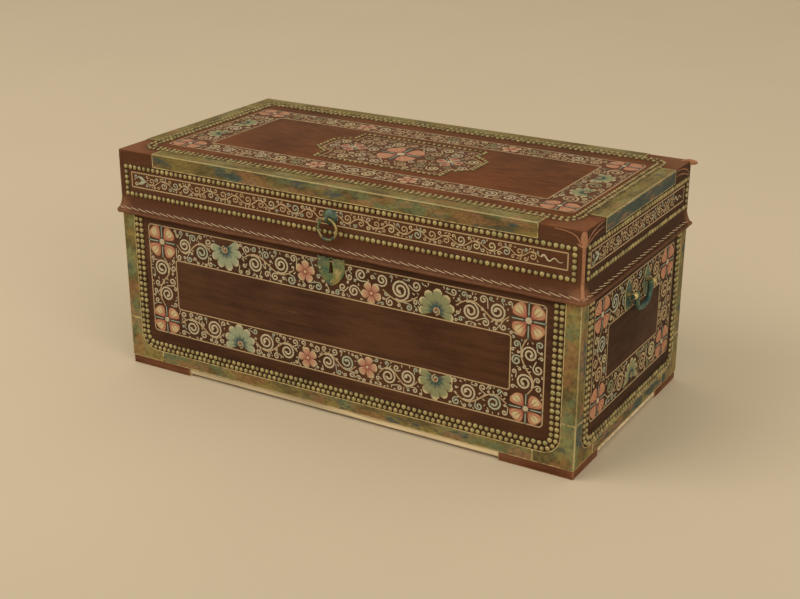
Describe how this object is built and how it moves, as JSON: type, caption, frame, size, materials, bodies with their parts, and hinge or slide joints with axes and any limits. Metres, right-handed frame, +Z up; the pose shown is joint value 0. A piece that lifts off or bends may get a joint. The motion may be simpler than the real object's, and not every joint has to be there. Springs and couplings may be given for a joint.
{
  "type": "storage chest",
  "caption": "Wooden storage chest covered in painted leather, bound with brass angles and domed tacks, with a hinged lid, ring pull, lock and end handles.",
  "frame": {"origin": "on the floor under the middle of the chest", "axes": "+X along the chest to its right end, +Y to its back, +Z up; the lock and ring pull look along -Y"},
  "size_m": [0.939, 0.4745, 0.4186],
  "materials": {
    "camphor_wood": "planed, oiled",
    "foot_wood": "rough",
    "dark_leather": "painted and waxed, worn",
    "lid_leather": "painted and waxed, worn",
    "foot_leather": "worn",
    "old_brass": "tarnished, verdigris in patches",
    "tack_brass": "domed, dull",
    "green_bronze": "verdigris over worn brass",
    "lock_steel": "filed",
    "hinge_brass": "tarnished"
  },
  "bodies": {
    "chest": {"front_board": "camphor_wood", "back_board": "camphor_wood", "left_end_board": "camphor_wood", "right_end_board": "camphor_wood", "bottom_board": "camphor_wood", "foot_blocks": "foot_wood", "front_leather": "dark_leather", "back_leather": "dark_leather", "left_end_leather": "dark_leather", "right_end_leather": "dark_leather", "foot_leathers": "foot_leather", "corner_angles": "old_brass", "bottom_corner_caps": "old_brass", "front_bottom_strip": "old_brass", "back_bottom_strip": "old_brass", "left_bottom_strip": "old_brass", "right_bottom_strip": "old_brass", "front_tacks": "tack_brass", "back_tacks": "tack_brass", "left_end_tacks": "tack_brass", "right_end_tacks": "tack_brass", "escutcheon_pins": "tack_brass", "escutcheon": "green_bronze", "handle_plates": "green_bronze", "handle_nuts": "green_bronze", "lock_case": "lock_steel", "lock_cover": "lock_steel", "lock_spring": "lock_steel", "lock_screws": "lock_steel", "handle_posts": "hinge_brass", "lower_hinge_leaves": "hinge_brass", "hinge_pins": "hinge_brass", "lower_hinge_screws": "hinge_brass"},
    "lid": {"lid_front_rail": "camphor_wood", "lid_back_rail": "camphor_wood", "lid_left_rail": "camphor_wood", "lid_right_rail": "camphor_wood", "lid_top_board": "camphor_wood", "lid_top_leather": "lid_leather", "lid_back_leather": "dark_leather", "lid_skirt": "dark_leather", "lid_front_strip": "old_brass", "lid_back_strip": "old_brass", "lid_left_strip": "old_brass", "lid_right_strip": "old_brass", "lid_corner_cap": "old_brass", "lid_top_tacks": "tack_brass", "lid_front_tacks": "tack_brass", "lid_back_tacks": "tack_brass", "lid_end_tacks": "tack_brass", "ring_boss": "green_bronze", "lid_catch": "lock_steel", "catch_screws": "lock_steel", "upper_hinge_leaves": "hinge_brass", "upper_hinge_screws": "hinge_brass"},
    "ring": {"ring": "green_bronze"},
    "left_bail": {"left_bail": "green_bronze"},
    "right_bail": {"right_bail": "green_bronze"},
    "lock_bolt": {"lock_bolt": "lock_steel"}
  },
  "joints": [
    {"name": "lid_hinge", "type": "hinge", "parent": "chest", "child": "lid", "pos_m": [0, 0.23, 0.3192], "axis": [-1, 0, 0], "range_deg": [0, 105]},
    {"name": "ring_swing", "type": "hinge", "parent": "lid", "child": "ring", "pos_m": [0, -0.235, 0.361], "axis": [-1, 0, 0], "range_deg": [0, 150]},
    {"name": "right_bail_swing", "type": "hinge", "parent": "chest", "child": "right_bail", "pos_m": [0.463, 0, 0.254], "axis": [0, -1, 0], "range_deg": [0, 100]},
    {"name": "left_bail_swing", "type": "hinge", "parent": "chest", "child": "left_bail", "pos_m": [-0.463, 0, 0.254], "axis": [0, 1, 0], "range_deg": [0, 100]},
    {"name": "lock_bolt_slide", "type": "slide", "parent": "chest", "child": "lock_bolt", "axis": [1, 0, 0], "range_m": [0, 0.01]}
  ]
}
